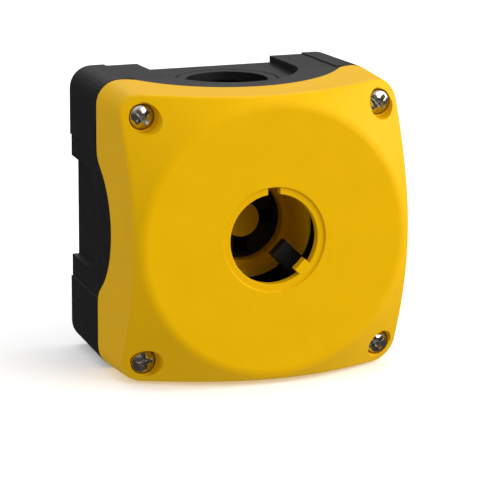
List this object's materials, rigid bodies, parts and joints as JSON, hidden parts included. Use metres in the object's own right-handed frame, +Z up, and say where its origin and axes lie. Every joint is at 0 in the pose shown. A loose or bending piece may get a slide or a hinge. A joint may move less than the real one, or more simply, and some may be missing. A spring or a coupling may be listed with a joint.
{
  "type": "push-button station enclosure",
  "caption": "Wall-mounted square control-station enclosure with a keyed round actuator hole, domed screw-down cover and breakable cable entries.",
  "frame": {"origin": "centre of the flat back face that sits against the wall", "axes": "+X right and +Z up as seen from the front, +Y into the wall; the cover faces -Y"},
  "size_m": [0.073, 0.055, 0.073],
  "materials": {
    "base_black": "fine moulded grain",
    "cover_yellow": "satin moulded",
    "seal_rubber": "matte foam rubber",
    "plated_steel": "zinc plated",
    "nylon_white": "natural nylon",
    "brass": "turned"
  },
  "bodies": {
    "base": {"base": "base_black", "inner_sleeve": "cover_yellow", "inner_hub": "cover_yellow", "thread_insert_tl": "brass", "thread_insert_tr": "brass", "thread_insert_bl": "brass", "thread_insert_br": "brass", "knockout_ring_top": "base_black", "knockout_ring_bottom": "base_black", "knockout_disc_bottom": "base_black", "knockout_disc_left": "base_black", "knockout_disc_right": "base_black"},
    "cover": {"cover": "cover_yellow", "cover_gasket": "seal_rubber"},
    "retainer_tl": {"screw_retainer_tl": "nylon_white"},
    "screw_tl": {"cover_screw_tl": "plated_steel"},
    "retainer_tr": {"screw_retainer_tr": "nylon_white"},
    "screw_tr": {"cover_screw_tr": "plated_steel"},
    "retainer_bl": {"screw_retainer_bl": "nylon_white"},
    "screw_bl": {"cover_screw_bl": "plated_steel"},
    "retainer_br": {"screw_retainer_br": "nylon_white"},
    "screw_br": {"cover_screw_br": "plated_steel"}
  },
  "joints": [
    {"name": "cover_lift", "type": "slide", "parent": "base", "child": "cover", "axis": [0, -1, 0], "range_m": [0, 0.06]},
    {"name": "retainer_tl_slide", "type": "slide", "parent": "cover", "child": "retainer_tl", "axis": [0, -1, 0], "range_m": [0, 0.006]},
    {"name": "screw_tl_turn", "type": "hinge", "parent": "retainer_tl", "child": "screw_tl", "pos_m": [-0.0305, -0.0432, 0.0305], "axis": [0, -1, 0], "range_deg": [0, 4321]},
    {"name": "retainer_tr_slide", "type": "slide", "parent": "cover", "child": "retainer_tr", "axis": [0, -1, 0], "range_m": [0, 0.006]},
    {"name": "screw_tr_turn", "type": "hinge", "parent": "retainer_tr", "child": "screw_tr", "pos_m": [0.0305, -0.0432, 0.0305], "axis": [0, -1, 0], "range_deg": [0, 4321]},
    {"name": "retainer_bl_slide", "type": "slide", "parent": "cover", "child": "retainer_bl", "axis": [0, -1, 0], "range_m": [0, 0.006]},
    {"name": "screw_bl_turn", "type": "hinge", "parent": "retainer_bl", "child": "screw_bl", "pos_m": [-0.0305, -0.0432, -0.0305], "axis": [0, -1, 0], "range_deg": [0, 4321]},
    {"name": "retainer_br_slide", "type": "slide", "parent": "cover", "child": "retainer_br", "axis": [0, -1, 0], "range_m": [0, 0.006]},
    {"name": "screw_br_turn", "type": "hinge", "parent": "retainer_br", "child": "screw_br", "pos_m": [0.0305, -0.0432, -0.0305], "axis": [0, -1, 0], "range_deg": [0, 4321]}
  ],
  "couplings": [
    {"joint": "screw_tl_turn", "follows": "retainer_tl_slide", "rad_per_m": 12566},
    {"joint": "screw_tr_turn", "follows": "retainer_tr_slide", "rad_per_m": 12566},
    {"joint": "screw_bl_turn", "follows": "retainer_bl_slide", "rad_per_m": 12566},
    {"joint": "screw_br_turn", "follows": "retainer_br_slide", "rad_per_m": 12566}
  ]
}
